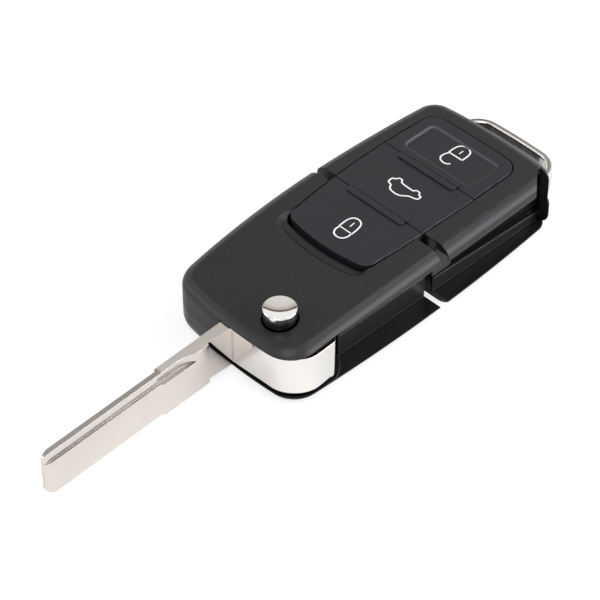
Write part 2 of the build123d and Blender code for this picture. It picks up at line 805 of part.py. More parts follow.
# Bright round button: dished top, hollow below, collar with two lugs inside the head
with BuildPart() as release_button:
    with BuildSketch(Plane.XY.offset(collar_bottom)):
        Circle(button_radius)
    extrude(amount=button_top - collar_bottom)
    fillet(release_button.faces().sort_by(Axis.Z)[-1].edges(), radius=button_edge)
    with BuildSketch(Plane.XY.offset(collar_bottom)):
        Circle(collar_radius)
        Rectangle(2 * lug_reach, lug_width, rotation=lug_turn + open_turn)
    extrude(amount=collar_height)
    with BuildSketch(Plane.XY.offset(collar_bottom)):
        Circle(button_radius - wall)
    extrude(amount=button_top - wall - 2 * button_dish - collar_bottom, mode=Mode.SUBTRACT)
    with Locations((0, 0, button_top - button_dish + dish_radius)):
        Sphere(dish_radius, mode=Mode.SUBTRACT)
release_button.part.label = "release_button"
export_step(release_button.part, "parts/release_button.step")

# Coil spring between the head's bore floor and the button's collar
with BuildPart() as flip_spring:
    with BuildLine() as spring_path:
        Helix(
            pitch=spring_length / spring_turns,
            height=spring_length,
            radius=spring_radius,
            center=(0, 0, bore_floor + spring_gap + spring_wire),
        )
    with BuildSketch(Plane(origin=spring_path.line @ 0, z_dir=spring_path.line % 0)):
        RegularPolygon(spring_wire, 8)
    sweep(is_frenet=True)
flip_spring.part.label = "flip_spring"
export_step(flip_spring.part, "parts/flip_spring.step")

# Pivot plug in the lower shell
with BuildPart() as spring_seat:
    with BuildSketch(Plane.XY.offset(pocket_floor - seat_sink)):
        Circle(seat_foot)
    extrude(amount=seat_sink)
    with BuildSketch(Plane.XY.offset(pocket_floor)):
        Circle(seat_radius)
    extrude(amount=seat_rise)
    chamfer(spring_seat.faces().sort_by(Axis.Z)[-1].edges(), length=0.3)
spring_seat.part.label = "spring_seat"
export_step(spring_seat.part, "parts/spring_seat.step")

# Screw from the underside
with BuildPart() as front_screw:
    with BuildSketch(Plane.XY.offset(screw_sink)):
        with Locations((screw_x, screw_y)):
            Circle(screw_head)
    extrude(amount=screw_head_height)
    with BuildSketch(Plane.XY.offset(screw_sink + screw_head_height)):
        with Locations((screw_x, screw_y)):
            Circle(screw_radius)
    extrude(amount=screw_tip - screw_sink - screw_head_height)
    chamfer(front_screw.faces().sort_by(Axis.Z)[-1].edges(), length=0.3)
front_screw.part.label = "front_screw"
export_step(front_screw.part, "parts/front_screw.step")

# The three function buttons: one outline parted by two joints
with BuildSketch() as rear_bar:
    with Locations((line_unlock, pad_middle)):
        RectangleRounded(bar_width, bar_length, bar_corner)

with BuildSketch() as front_bar:
    with Locations((line_lock, pad_middle)):
        RectangleRounded(bar_width, bar_length, bar_corner)

with BuildPart() as lock_button:
    with BuildSketch(Plane.XY.offset(cap_bottom)):
        add(between(pad_plan, line_lock + line_gap / 2, pad_front + 1, reach / 2))
    extrude(amount=cap_thick)
    fillet(lock_button.faces().sort_by(Axis.Z)[-1].edges(), radius=pad_edge)
    with BuildSketch(Plane.XY.offset(pad_top - pad_edge)):
        add(between(front_bar.sketch, line_lock + line_gap / 2, pad_front, reach / 2))
    extrude(amount=pad_edge + bar_rise)
lock_button.part.label = "lock_button"
export_step(lock_button.part, "parts/lock_button.step")

with BuildPart() as boot_button:
    with BuildSketch(Plane.XY.offset(cap_bottom)):
        add(between(pad_plan, line_unlock + line_gap / 2, line_lock - line_gap / 2, reach / 2))
    extrude(amount=cap_thick)
    fillet(boot_button.faces().sort_by(Axis.Z)[-1].edges(), radius=pad_edge)
    with BuildSketch(Plane.XY.offset(pad_top - pad_edge)):
        add(between(front_bar.sketch, line_unlock, line_lock - line_gap / 2, reach / 2))
        add(between(rear_bar.sketch, line_unlock + line_gap / 2, line_lock, reach / 2))
    extrude(amount=pad_edge + bar_rise)
boot_button.part.label = "boot_button"
export_step(boot_button.part, "parts/boot_button.step")

with BuildPart() as unlock_button:
    with BuildSketch(Plane.XY.offset(cap_bottom)):
        add(between(pad_plan, pad_rear - 1, line_unlock - line_gap / 2, reach / 2))
    extrude(amount=cap_thick)
    fillet(unlock_button.faces().sort_by(Axis.Z)[-1].edges(), radius=pad_edge)
    with BuildSketch(Plane.XY.offset(pad_top - pad_edge)):
        add(between(rear_bar.sketch, pad_rear, line_unlock - line_gap / 2, reach / 2))
    extrude(amount=pad_edge + bar_rise)
    with BuildSketch(Plane.XY.offset(pad_top)):
        with Locations(((dish_front + dish_rear) / 2, pad_middle)):
            RectangleRounded(dish_front - dish_rear, dish_length, dish_corner)
    extrude(amount=-dish_depth, taper=dish_slope, mode=Mode.SUBTRACT)
unlock_button.part.label = "unlock_button"
export_step(unlock_button.part, "parts/unlock_button.step")

# Silicone mat with a dome under each button
with BuildPart() as keypad_mat:
    with BuildSketch(Plane.XY.offset(mat_bottom)):
        add(keypad_outline(pad_front, -mat_inset))
    extrude(amount=mat_thick)
    with BuildSketch(Plane.XY.offset(mat_top)):
        with Locations(*dome_places):
            Circle(dome_radius)
    extrude(amount=dome_height, taper=20)
keypad_mat.part.label = "keypad_mat"
export_step(keypad_mat.part, "parts/keypad_mat.step")

# Moulded frame that carries the mat from the posts of the remote half
with BuildPart() as keypad_frame:
    with BuildSketch(Plane.XY.offset(frame_bottom)):
        add(keypad_outline(pad_front, -frame_inset))
    extrude(amount=frame_rim_height)
    with BuildSketch(Plane.XY.offset(mat_bottom)):
        add(keypad_outline(pad_front, -frame_inset - frame_rim))
    extrude(amount=height, mode=Mode.SUBTRACT)
keypad_frame.part.label = "keypad_frame"
export_step(keypad_frame.part, "parts/keypad_frame.step")

# Bright bow for the key ring, its two legs held in the remote half
with BuildSketch() as bow_outer:
    bow_side_far = (tail - bow_reach + 0.5, -bow_far)
    bow_side_near = (tail - bow_reach + 0.5, bow_near)
    with BuildLine():
        Polyline(bow_side_far, (leg_end, -bow_far), (leg_end, bow_near), bow_side_near)
        ThreePointArc(
            bow_side_near, (tail - bow_reach, (bow_near - bow_far) / 2), bow_side_far
        )
    make_face()
    bow_corners = bow_outer.vertices().filter_by_position(
        Axis.X, tail - bow_reach, tail - bow_reach + 1
    )
    fillet(bow_corners, radius=bow_corner)

with BuildSketch() as bow_inner:
    add(bow_outer.sketch)
    offset(amount=-bow_thick)
    with Locations((leg_end, (bow_near - bow_far) / 2)):
        Rectangle(2 * bow_leg, bow_near + bow_far - 2 * bow_thick)

with BuildPart() as ring_bow:
    with BuildSketch(Plane.XY.offset(bow_bottom)):
        add(bow_outer.sketch)
        add(bow_inner.sketch, mode=Mode.SUBTRACT)
        with Locations(((tail + leg_end) / 2, far_leg), ((tail + leg_end) / 2, near_leg)):
            Rectangle(bow_leg, leg_thick)
    extrude(amount=bow_height)
    fillet(ring_bow.faces().filter_by(Axis.Z).edges(), radius=bow_edge)
    with BuildSketch():
        with Locations((pin_x, far_leg), (pin_x, near_leg)):
            Circle(ring_pin + pin_fit)
    extrude(amount=height, mode=Mode.SUBTRACT)
ring_bow.part.label = "ring_bow"
export_step(ring_bow.part, "parts/ring_bow.step")

# Two dowels that hold the legs of the bow
with BuildPart() as ring_pins:
    with BuildSketch(Plane.XY.offset(ring_pin_foot)):
        with Locations((pin_x, far_leg), (pin_x, near_leg)):
            Circle(ring_pin)
    extrude(amount=ring_pin_top - ring_pin_foot)
ring_pins.part.label = "ring_pins"
export_step(ring_pins.part, "parts/ring_pins.step")
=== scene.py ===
"""Looks of a folding car key shell, blade out, on a white studio floor."""
import math

import bmesh
import bpy
from mathutils import Matrix, Vector


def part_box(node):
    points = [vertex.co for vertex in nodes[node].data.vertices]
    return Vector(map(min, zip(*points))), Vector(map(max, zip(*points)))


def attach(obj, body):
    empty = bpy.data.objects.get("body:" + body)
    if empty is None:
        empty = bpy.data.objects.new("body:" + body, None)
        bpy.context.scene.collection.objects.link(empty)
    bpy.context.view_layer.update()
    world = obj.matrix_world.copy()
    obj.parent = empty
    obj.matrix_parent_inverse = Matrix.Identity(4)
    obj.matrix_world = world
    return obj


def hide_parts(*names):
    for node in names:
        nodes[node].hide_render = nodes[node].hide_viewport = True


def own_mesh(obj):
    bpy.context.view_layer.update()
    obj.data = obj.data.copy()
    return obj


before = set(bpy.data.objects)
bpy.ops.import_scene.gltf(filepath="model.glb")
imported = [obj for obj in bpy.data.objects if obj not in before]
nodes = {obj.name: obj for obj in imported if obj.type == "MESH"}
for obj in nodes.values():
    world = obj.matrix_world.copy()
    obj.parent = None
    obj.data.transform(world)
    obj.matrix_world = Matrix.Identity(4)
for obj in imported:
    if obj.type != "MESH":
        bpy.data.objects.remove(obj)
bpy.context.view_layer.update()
MM = 0.001

# Camera. It looks as the photograph does, from above the slot side and ahead of the
# blade's tip, with a long lens.
AZIMUTH = math.radians(135.5)
ELEVATION = math.radians(43.4)
IMAGE = 600
FOCAL_PX = 2800
AIM = Vector((0, 0, 13.44)) * MM    # a point on the button's axis ...
AIM_PX = (280, 318.5)               # ... and where the photograph shows it
SCALE_PX_PER_M = 5394
right = Vector((math.cos(AZIMUTH), math.sin(AZIMUTH), 0))
back = Vector((
    math.sin(AZIMUTH) * math.cos(ELEVATION),
    -math.cos(AZIMUTH) * math.cos(ELEVATION),
    math.sin(ELEVATION),
))
up = back.cross(right)
distance = FOCAL_PX / SCALE_PX_PER_M
sideways = (AIM_PX[0] - IMAGE / 2) / SCALE_PX_PER_M
downwards = (AIM_PX[1] - IMAGE / 2) / SCALE_PX_PER_M
camera_data = bpy.data.cameras.new("photo_camera")
camera_data.sensor_width = 36
camera_data.lens = FOCAL_PX / IMAGE * 36
camera_data.clip_start = 0.01
camera_data.clip_end = 50
camera = bpy.data.objects.new("photo_camera", camera_data)
place = Matrix((right, up, back)).transposed().to_4x4()
place.translation = AIM + back * distance - right * sideways + up * downwards
camera.matrix_world = place
bpy.context.scene.collection.objects.link(camera)
bpy.context.scene.camera = camera
bpy.context.scene.view_settings.view_transform = "Standard"


# Studio. A white table under a wide soft light; the room above is grey and its walls
# are light, which is what the bright parts mirror.
def add_node(tree, kind, inputs=None, **settings):
    """A shader node with its settings, and its unlinked inputs, given at once."""
    made = tree.nodes.new("ShaderNode" + kind)
    for name, value in settings.items():
        setattr(made, name, value)
    for name, value in (inputs or {}).items():
        made.inputs[name].default_value = value
    return made


def calculate(tree, operation, *values):
    """The socket with the result of one operation; each value is a number or a socket."""
    step = add_node(tree, "Math", operation=operation)
    for socket, value in zip(step.inputs, values):
        if isinstance(value, (int, float)):
            socket.default_value = value
        else:
            tree.links.new(value, socket)
    return step.outputs[0]


def split_axes(tree, vector):
    """The sockets X, Y and Z of a vector's socket."""
    axes = add_node(tree, "SeparateXYZ")
    tree.links.new(vector, axes.inputs[0])
    return axes.outputs


def set_ramp(ramp_node, stops):
    """Colour stops as (position, grey) or (position, (red, green, blue))."""
    ramp = ramp_node.color_ramp
    while len(ramp.elements) < len(stops):
        ramp.elements.new(0.5)
    for element, (position, shade) in zip(ramp.elements, stops):
        element.position = position
        rgb = shade if isinstance(shade, tuple) else (shade, shade, shade)
        element.color = (*rgb, 1)


world = bpy.data.worlds.new("studio")
bpy.context.scene.world = world
world.use_nodes = True
tree = world.node_tree
tree.nodes.clear()
sky_out = add_node(tree, "OutputWorld")
sky_white = add_node(tree, "Background", {"Color": (1, 1, 1, 1), "Strength": 1.0})
sky_grey = add_node(tree, "Background", {"Strength": 1.0})
sky_soft = add_node(tree, "Background", {"Color": (0.45, 0.45, 0.465, 1), "Strength": 1.0})
ray = add_node(tree, "LightPath")
mirrored = calculate(
    tree, "MAXIMUM", ray.outputs["Is Glossy Ray"], ray.outputs["Is Transmission Ray"]
)
which = add_node(tree, "MixShader")
which_sky = add_node(tree, "MixShader")
direction = add_node(tree, "TexCoord")
# What the bright parts mirror, from level (0) to straight up (1): light walls, a dark
# band, then a grey ceiling that lightens
height_ramp = add_node(tree, "ValToRGB")
set_ramp(height_ramp, [
    (0.0, 0.92),
    (0.575, 0.95),
    (0.6, (0.05, 0.045, 0.04)),
    (0.635, (0.05, 0.045, 0.04)),
    (0.655, (0.46, 0.43, 0.405)),
    (0.7, (0.5, 0.47, 0.445)),
    (0.785, (0.7, 0.665, 0.635)),
    (1.0, 0.75),
])
skyward = split_axes(tree, direction.outputs["Generated"])["Z"]
tree.links.new(skyward, height_ramp.inputs["Fac"])
tree.links.new(height_ramp.outputs["Color"], sky_grey.inputs["Color"])
tree.links.new(mirrored, which_sky.inputs["Fac"])
tree.links.new(sky_soft.outputs[0], which_sky.inputs[1])
tree.links.new(sky_grey.outputs[0], which_sky.inputs[2])
tree.links.new(ray.outputs["Is Camera Ray"], which.inputs["Fac"])
tree.links.new(which_sky.outputs[0], which.inputs[1])
tree.links.new(sky_white.outputs[0], which.inputs[2])
tree.links.new(which.outputs[0], sky_out.inputs["Surface"])


def soft_lamp(name, at, aim, size, watts):
    """A square soft box; its place, its aim and its size are in metres."""
    data = bpy.data.lights.new(name, "AREA")
    data.energy = watts
    data.shape = "SQUARE"
    data.size = size
    lamp = bpy.data.objects.new(name, data)
    toward = Vector(aim) - Vector(at)
    lamp.matrix_world = (
        Matrix.Translation(at) @ toward.to_track_quat("-Z", "Y").to_matrix().to_4x4()
    )
    bpy.context.scene.collection.objects.link(lamp)


soft_lamp("overhead_box", (0.42, 0.22, 0.78), (-0.01, 0, 0), 0.45, 2.4)
soft_lamp("slot_side_box", (-0.46, 0.68, 0.33), (-0.03, 0, 0), 0.72, 6.9)
soft_lamp("high_rear_box", (-0.42, 0.23, 0.76), (-0.03, 0, 0), 0.28, 0.9)
soft_lamp("blade_side_box", (0.52, -0.62, 0.42), (-0.02, 0, 0), 0.6, 1.6)
soft_lamp("camera_side_box", (0.6, 0.65, 0.3), (-0.03, 0, 0), 0.4, 0.5)

FLOOR_REACH = 3.0           # metres from the middle to each side
FLOOR_GAP = 0.05 * MM       # clear of the underside
floor_mesh = bpy.data.meshes.new("floor")
bm = bmesh.new()
bmesh.ops.create_grid(bm, x_segments=1, y_segments=1, size=FLOOR_REACH)
bmesh.ops.translate(bm, verts=bm.verts, vec=(0, 0, -FLOOR_GAP))
bm.to_mesh(floor_mesh)
bm.free()
floor = bpy.data.objects.new("floor", floor_mesh)
bpy.context.scene.collection.objects.link(floor)
paper = bpy.data.materials.new("white_paper")
paper.use_nodes = True
tree = paper.node_tree
tree.nodes.clear()
paper_out = add_node(tree, "OutputMaterial")
diffuse = add_node(tree, "BsdfDiffuse", {"Color": (0.8, 0.8, 0.8, 1)})
faint = add_node(tree, "BsdfDiffuse", {"Color": (0.35, 0.35, 0.35, 1)})
glow = add_node(tree, "Emission", {"Strength": 0.74})
seen = add_node(tree, "AddShader")
pale = add_node(tree, "BsdfDiffuse", {"Color": (0.78, 0.77, 0.76, 1)})
pale_glow = add_node(tree, "Emission", {"Strength": 0.12})
in_mirrors = add_node(tree, "AddShader")
ray = add_node(tree, "LightPath")
mirrored = calculate(
    tree, "MAXIMUM", ray.outputs["Is Glossy Ray"], ray.outputs["Is Transmission Ray"]
)
which = add_node(tree, "MixShader")
which_mirror = add_node(tree, "MixShader")
tree.links.new(pale.outputs[0], in_mirrors.inputs[0])
tree.links.new(pale_glow.outputs[0], in_mirrors.inputs[1])
tree.links.new(mirrored, which_mirror.inputs["Fac"])
tree.links.new(diffuse.outputs[0], which_mirror.inputs[1])
tree.links.new(in_mirrors.outputs[0], which_mirror.inputs[2])
tree.links.new(faint.outputs[0], seen.inputs[0])
tree.links.new(glow.outputs[0], seen.inputs[1])
tree.links.new(ray.outputs["Is Camera Ray"], which.inputs["Fac"])
tree.links.new(which_mirror.outputs[0], which.inputs[1])
tree.links.new(seen.outputs[0], which.inputs[2])
tree.links.new(which.outputs[0], paper_out.inputs["Surface"])
floor_mesh.materials.append(paper)


# Lower shell of the flip half: black nylon, injection moulded, its outside with a fine
# satin spark grain and its slot, lip and flange left as polished as the tool. The screw
# and the lap joint hold it to the cover.
def make_group(name, inputs, outputs):
    """An empty node group with its sockets, as (socket kind, name)."""
    group = bpy.data.node_groups.new(name, "ShaderNodeTree")
    for kind, label in inputs:
        group.interface.new_socket(label, in_out="INPUT", socket_type="NodeSocket" + kind)
    for kind, label in outputs:
        group.interface.new_socket(label, in_out="OUTPUT", socket_type="NodeSocket" + kind)
    return group, group.nodes.new("NodeGroupInput"), group.nodes.new("NodeGroupOutput")


# Grain of the tool: a broad cloudiness and the fine pits of spark erosion
grain_group, group_in, group_out = make_group(
    "mould_grain", [("Vector", "Place")], [("Float", "Broad"), ("Float", "Spark")]
)
broad = add_node(grain_group, "TexNoise", {"Scale": 130.0, "Detail": 4.0, "Roughness": 0.55})
spark = add_node(grain_group, "TexNoise", {"Scale": 3600.0, "Detail": 2.0, "Roughness": 0.7})
grain_group.links.new(group_in.outputs["Place"], broad.inputs["Vector"])
grain_group.links.new(group_in.outputs["Place"], spark.inputs["Vector"])
grain_group.links.new(broad.outputs["Fac"], group_out.inputs["Broad"])
grain_group.links.new(spark.outputs["Fac"], group_out.inputs["Spark"])

# Mask of outside edges, from how far a rounded normal leans from the true one
edge_group, group_in, group_out = make_group(
    "edge_mask", [("Float", "Radius")], [("Float", "Edge"), ("Vector", "Normal")]
)
rounded = add_node(edge_group, "Bevel", samples=8)
true_side = add_node(edge_group, "NewGeometry")
lean = add_node(edge_group, "VectorMath", operation="DOT_PRODUCT")
edge_ramp = add_node(edge_group, "ValToRGB")
set_ramp(edge_ramp, [(0.8, 1.0), (0.985, 0.0)])
edge_group.links.new(group_in.outputs["Radius"], rounded.inputs["Radius"])
edge_group.links.new(rounded.outputs["Normal"], lean.inputs[0])
edge_group.links.new(true_side.outputs["Normal"], lean.inputs[1])
edge_group.links.new(lean.outputs["Value"], edge_ramp.inputs["Fac"])
edge_group.links.new(edge_ramp.outputs["Color"], group_out.inputs["Edge"])
edge_group.links.new(rounded.outputs["Normal"], group_out.inputs["Normal"])

# Mask of open surface for painted shade: 1 in the open, 0 deep in a gap or crease
open_group, group_in, group_out = make_group(
    "open_surface", [("Float", "Distance")], [("Float", "Open")]
)
closeness = add_node(open_group, "AmbientOcclusion", samples=8)
open_ramp = add_node(open_group, "ValToRGB")
set_ramp(open_ramp, [(0.38, 0.0), (0.82, 1.0)])
open_group.links.new(group_in.outputs["Distance"], closeness.inputs["Distance"])
open_group.links.new(closeness.outputs["AO"], open_ramp.inputs["Fac"])
open_group.links.new(open_ramp.outputs["Color"], group_out.inputs["Open"])


def mix_colours(tree, mask, first, second):
    """A colour that goes from first to second with the mask; each is a colour or a socket."""
    mixed = add_node(tree, "Mix", data_type="RGBA")
    tree.links.new(mask, mixed.inputs["Factor"])
    for socket, colour in ((mixed.inputs[6], first), (mixed.inputs[7], second)):
        if isinstance(colour, tuple):
            socket.default_value = (*colour, 1)
        else:
            tree.links.new(colour, socket)
    return mixed.outputs[2]


def in_range(tree, value, low, high, from_low=0.0, from_high=1.0):
    """A socket's value carried from one range to another."""
    carried = add_node(tree, "MapRange", {
        "From Min": from_low, "From Max": from_high, "To Min": low, "To Max": high,
    })
    tree.links.new(value, carried.inputs["Value"])
    return carried.outputs["Result"]


def new_material(name):
    """A material, with its node tree and its Principled shader."""
    material = bpy.data.materials.new(name)
    material.use_nodes = True
    return material, material.node_tree, material.node_tree.nodes["Principled BSDF"]


# Painted shade: the black that gaps, creases and the slot wall are painted where shade falls
PAINTED_SHADE_BLACK = (0.0016, 0.0016, 0.0017)
POLISHED_BLACK = (0.009, 0.009, 0.0093)
# Painted light: the pale grey of a lit patch on the slot wall at the joint
PAINTED_LIGHT_GREY = (0.055, 0.055, 0.057)
PIT_RELIEF, POLISHED_RELIEF = 0.35, 0.04
POLISHED_ROUGH = 0.3
POLISH_BLEND = 3 * MM       # either side of the line where the grain ends
LIT_PATCH_BLEND = 0.3 * MM
# WALL_REACH, WALL_MIDDLE and WALL_HALF place the slot wall that is painted black as shade
WALL_REACH = 0.2 * MM       # either side of the wall's own place
WALL_MIDDLE = 6.8 * MM      # height of the middle of the dark wall ...
WALL_HALF = 5.8 * MM        # ... and how far it goes up and down from there


def black_plastic(
    name, dark, light, rough, edge=(0.03, 0.03, 0.031), edge_radius=0.16, depth=0.9,
    polished=None, slot_wall=None, lit_patch_from=None,
):
    """Satin moulded plastic, with painted shade in its gaps. Lengths are in mm.

    edge and edge_radius are the colour and the width of a painted highlight along edges, and
    depth is how far a gap's walls may stand apart for painted shade to darken it. polished is
    the Y where the grain gives way to polish. slot_wall is the Y of a wall of the blade slot,
    painted black as shade. The last argument is the X from which that wall gets a painted
    pale patch of light instead.
    """
    material, tree, shader = new_material(name)
    shader.inputs["IOR"].default_value = 1.5
    shader.inputs["Specular Tint"].default_value = (0.94, 0.93, 1.0, 1.0)
    spot = add_node(tree, "TexCoord")
    grain = add_node(tree, "Group", node_tree=grain_group)
    edges = add_node(tree, "Group", {"Radius": edge_radius * MM}, node_tree=edge_group)
    opening = add_node(tree, "Group", {"Distance": depth * MM}, node_tree=open_group)
    relief = add_node(tree, "Bump", {"Strength": PIT_RELIEF, "Distance": 0.02 * MM})
    place = split_axes(tree, spot.outputs["Object"])
    tree.links.new(spot.outputs["Object"], grain.inputs["Place"])
    pits = grain.outputs["Spark"]
    body = mix_colours(tree, grain.outputs["Broad"], dark, light)
    speck = in_range(tree, pits, 0.0, 0.55, 0.45, 0.8)
    body = mix_colours(tree, speck, body, tuple(1.9 * part for part in light))
    body_rough = in_range(tree, pits, rough - 0.05, rough + 0.09, 0.3, 0.7)
    if polished is not None:
        shiny = in_range(
            tree, place["Y"], 0.0, 1.0,
            polished * MM - POLISH_BLEND, polished * MM + POLISH_BLEND,
        )
        body = mix_colours(tree, shiny, body, POLISHED_BLACK)
        smooth = add_node(tree, "Mix", {3: POLISHED_ROUGH}, data_type="FLOAT")
        tree.links.new(shiny, smooth.inputs["Factor"])
        tree.links.new(body_rough, smooth.inputs[2])
        body_rough = smooth.outputs[0]
        polish_relief = in_range(tree, shiny, PIT_RELIEF, POLISHED_RELIEF)
        tree.links.new(polish_relief, relief.inputs["Strength"])
    # Painted highlight: edges are painted lighter
    edge_highlighted = mix_colours(tree, edges.outputs["Edge"], body, edge)
    open_mask = opening.outputs["Open"]
    # Painted shade: the slot wall is painted black like a gap
    if slot_wall is not None:
        on_wall = calculate(
            tree, "MULTIPLY",
            calculate(tree, "COMPARE", place["Y"], slot_wall * MM, WALL_REACH),
            calculate(tree, "COMPARE", place["Z"], WALL_MIDDLE, WALL_HALF),
        )
        off_wall = calculate(tree, "SUBTRACT", 1.0, on_wall)
        open_mask = calculate(tree, "MULTIPLY", off_wall, open_mask)
    # Painted shade: gaps and creases are painted black
    shaded = mix_colours(tree, open_mask, PAINTED_SHADE_BLACK, edge_highlighted)
    # Painted light: a pale lit patch on the slot wall towards the joint
    if lit_patch_from is not None:
        at_joint = in_range(
            tree, place["X"], 0.0, 1.0, lit_patch_from * MM - LIT_PATCH_BLEND, lit_patch_from * MM
        )
        painted_lit = calculate(tree, "MULTIPLY", at_joint, on_wall)
        shaded = mix_colours(tree, painted_lit, shaded, PAINTED_LIGHT_GREY)
    # Painted shade: the reflection is dimmed in gaps and on the slot wall
    gleam = in_range(tree, open_mask, 0.06, 0.42)
    tree.links.new(shaded, shader.inputs["Base Color"])
    tree.links.new(gleam, shader.inputs["Specular IOR Level"])
    tree.links.new(body_rough, shader.inputs["Roughness"])
    tree.links.new(pits, relief.inputs["Height"])
    tree.links.new(edges.outputs["Normal"], relief.inputs["Normal"])
    tree.links.new(relief.outputs["Normal"], shader.inputs["Normal"])
    return material


def finish_node(name, material):
    """Gives a carried-over part its material."""
    nodes[name].data.materials.clear()
    nodes[name].data.materials.append(material)


# Painted highlight along the lower shells' edges, lighter and wider than elsewhere
BASE_EDGE_HIGHLIGHT = {"edge": (0.075, 0.075, 0.076), "edge_radius": 0.28}
POLISHED_FROM = -9          # Y in mm: the slot, the lip and the flange lie beyond it
finish_node("front_base", black_plastic(
    "shell_base_plastic", (0.012, 0.012, 0.0125), (0.018, 0.018, 0.019), 0.14,
    polished=POLISHED_FROM, **BASE_EDGE_HIGHLIGHT,
))

# Lower shell of the remote half: the same black nylon, grained and polished in the same
# way. Its tongue slides into the flip half.
# The slot wall is painted black as shade on the remote half's base and cover
SLOT_WALL_Y = 5.75
finish_node("rear_base", black_plastic(
    "shell_rear_base_plastic", (0.013, 0.013, 0.0135), (0.02, 0.02, 0.021), 0.35,
    polished=POLISHED_FROM, slot_wall=SLOT_WALL_Y, **BASE_EDGE_HIGHLIGHT,
))

# Pivot plug: a turned plug of hard black plastic, pressed into the lower shell. It
# anchors the spring and centres the head.
inner_plastic = black_plastic(
    "inner_plastic", (0.015, 0.015, 0.016), (0.025, 0.025, 0.027), 0.5
)
finish_node("spring_seat", inner_plastic)


# Flip head: a zinc casting, polished and plated with bright nickel and chrome. It turns
# on the pivot plug.
plating_group, group_in, group_out = make_group(
    "plating_waves",
    [("Vector", "Place")],
    [("Float", "Wave"), ("Float", "Haze"), ("Color", "Tint")],
)
wave = add_node(plating_group, "TexNoise", {"Scale": 240.0, "Detail": 2.0, "Roughness": 0.4})
haze = add_node(plating_group, "TexNoise", {"Scale": 900.0, "Detail": 6.0, "Roughness": 0.65})
tint = add_node(plating_group, "TexNoise", {"Scale": 190.0, "Detail": 3.0})
tint_ramp = add_node(plating_group, "ValToRGB")
set_ramp(tint_ramp, [
    (0.32, (0.9, 0.865, 0.84)),
    (0.5, (0.9, 0.88, 0.86)),
    (0.68, (0.885, 0.885, 0.86)),
])
plating_group.links.new(group_in.outputs["Place"], wave.inputs["Vector"])
plating_group.links.new(group_in.outputs["Place"], haze.inputs["Vector"])
plating_group.links.new(group_in.outputs["Place"], tint.inputs["Vector"])
plating_group.links.new(tint.outputs["Fac"], tint_ramp.inputs["Fac"])
plating_group.links.new(wave.outputs["Fac"], group_out.inputs["Wave"])
plating_group.links.new(haze.outputs["Fac"], group_out.inputs["Haze"])
plating_group.links.new(tint_ramp.outputs["Color"], group_out.inputs["Tint"])


# Painted shade: the dark reflection at the foot of an upright plated side
PAINTED_FOOT_SHADE = (0.06, 0.055, 0.05)


def bright_plating(name, rough, ripple, edge_radius=0.1, foot=None):
    """Polished plating with a slow ripple, a little haze and a change of tint.

    edge_radius is in mm. foot gives the heights, in mm, between which the painted shade at
    the foot of an upright side, a painted dark reflection, fades out.
    """
    material, tree, shader = new_material(name)
    shader.inputs["Metallic"].default_value = 1.0
    spot = add_node(tree, "TexCoord")
    waves = add_node(tree, "Group", node_tree=plating_group)
    edges = add_node(tree, "Group", {"Radius": edge_radius * MM}, node_tree=edge_group)
    relief = add_node(tree, "Bump", {"Strength": ripple, "Distance": 0.05 * MM})
    tree.links.new(spot.outputs["Object"], waves.inputs["Place"])
    plating = waves.outputs["Tint"]
    if foot:
        height = split_axes(tree, spot.outputs["Object"])["Z"]
        facing = split_axes(tree, spot.outputs["Normal"])
        upright = calculate(tree, "LESS_THAN", facing["Z"], 0.5)
        low_down = in_range(tree, height, 0.9, 0.0, foot[0] * MM, foot[1] * MM)
        foot_shaded = calculate(tree, "MULTIPLY", upright, low_down)
        plating = mix_colours(tree, foot_shaded, plating, PAINTED_FOOT_SHADE)
    haze_rough = in_range(tree, waves.outputs["Haze"], rough * 0.6, rough * 1.7, 0.3, 0.75)
    tree.links.new(plating, shader.inputs["Base Color"])
    tree.links.new(haze_rough, shader.inputs["Roughness"])
    tree.links.new(waves.outputs["Wave"], relief.inputs["Height"])
    tree.links.new(edges.outputs["Normal"], relief.inputs["Normal"])
    tree.links.new(relief.outputs["Normal"], shader.inputs["Normal"])
    return material


chrome = bright_plating("bright_chrome", 0.06, 0.12)


def new_piece(name, bm, material, body, smooth=35):
    """An object made from a bmesh, smooth but for its real edges, riding on a body."""
    bmesh.ops.recalc_face_normals(bm, faces=bm.faces)
    for face in bm.faces:
        face.smooth = True
    for edge in bm.edges:
        if edge.calc_face_angle(0) > math.radians(smooth):
            edge.smooth = False
    mesh = bpy.data.meshes.new(name)
    bm.to_mesh(mesh)
    bm.free()
    mesh.materials.append(material)
    piece = bpy.data.objects.new(name, mesh)
    bpy.context.scene.collection.objects.link(piece)
    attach(piece, body)
    return piece


SAME_POINT = 0.0005 * MM


def merged_copy(node_name):
    """The frame's mesh of a part, its facets joined at their corners."""
    bm = bmesh.new()
    bm.from_mesh(nodes[node_name].data)
    bmesh.ops.remove_doubles(bm, verts=bm.verts, dist=SAME_POINT)
    return bm


# The far top edge falls away under the cover to a crisp corner, where it mirrors black
CUT_LEAN = math.radians(10)
CUT_AT = Vector((0, 9.75, 10.98)) * MM
BLADE_TURN = 0.035          # radians that the open blade stands off the body's axis
bm = merged_copy("flip_head")
cut = bmesh.ops.bisect_plane(
    bm, geom=bm.verts[:] + bm.edges[:] + bm.faces[:], dist=0.0002 * MM,
    plane_co=CUT_AT,
    plane_no=(-BLADE_TURN * math.sin(CUT_LEAN), math.sin(CUT_LEAN), math.cos(CUT_LEAN)),
    clear_outer=True,
)
rim = [edge for edge in cut["geom_cut"] if isinstance(edge, bmesh.types.BMEdge)]
bmesh.ops.triangle_fill(bm, edges=rim, use_beauty=True)
head = new_piece("head_casting", bm, chrome, "flip", smooth=30)
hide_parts("flip_head")


# Key blade: uncut nickel-plated brass, milled and barrel polished, pinned in the head.
# Every edge is broken a little, so the piece is the frame's blade with its edges rounded.
NECK_START, NECK_END = 11 * MM, 12.6 * MM
NECK_SIDE = -7.2 * MM       # Y beyond which the neck's slot side lies
NECK_TAPER = 0.3 * MM


